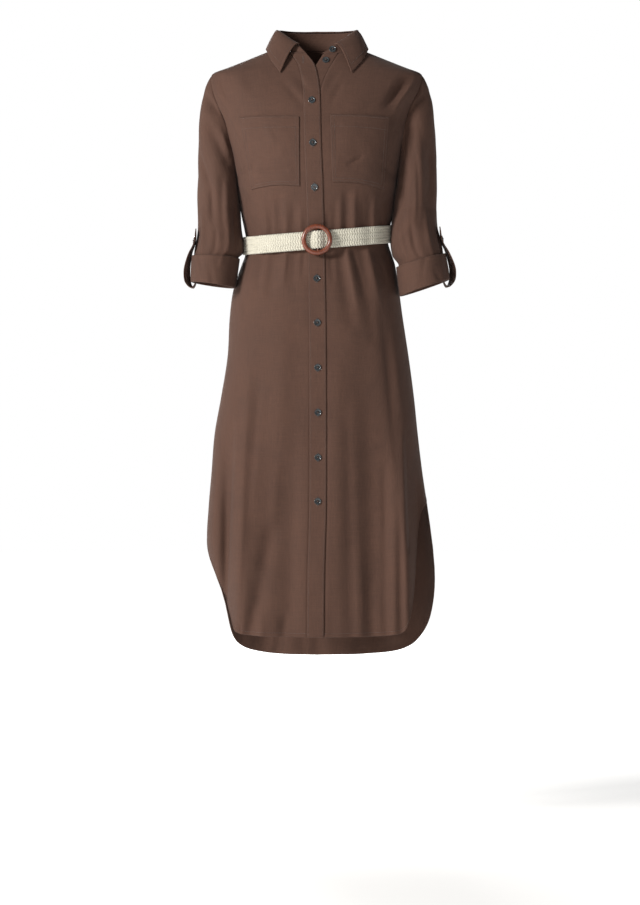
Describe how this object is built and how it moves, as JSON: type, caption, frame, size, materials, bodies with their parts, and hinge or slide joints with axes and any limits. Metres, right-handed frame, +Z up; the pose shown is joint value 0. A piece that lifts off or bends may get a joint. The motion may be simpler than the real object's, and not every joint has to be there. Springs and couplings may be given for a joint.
{
  "type": "shirt dress",
  "caption": "Brown midi shirt dress with rolled sleeves held by tabs, chest pockets, a buttoned front and a cream braided belt with a round wooden ring buckle.",
  "frame": {"origin": "between the shoulders, on the middle line, level with the neck ends of the shoulder seams, where the wearer's shoulders hold the dress", "axes": "+Z up, -Y to the front of the dress, +X to the wearer's left"},
  "size_m": [0.4987, 0.2539, 1.1815],
  "materials": {
    "cloth": "matt linen weave",
    "belt_braid": "matt braided cord",
    "wood": "satin varnish",
    "button": "polished"
  },
  "bodies": {
    "root": {"right_front": "cloth", "left_front": "cloth", "back": "cloth", "buttonhole_band": "cloth", "button_band": "cloth", "collar_stand": "cloth", "collar_fall": "cloth", "pocket_right": "cloth", "pocket_left": "cloth", "sleeve_right": "cloth", "sleeve_left": "cloth", "cuff_right": "cloth", "cuff_left": "cloth", "tab_right": "cloth", "tab_left": "cloth", "button_01": "button", "button_02": "button", "button_03": "button", "button_04": "button", "button_05": "button", "button_06": "button", "button_07": "button", "button_08": "button", "button_09": "button", "button_10": "button", "button_11": "button", "tab_button_right": "button", "tab_button_left": "button", "belt": "belt_braid", "belt_buckle": "wood"}
  },
  "joints": []
}
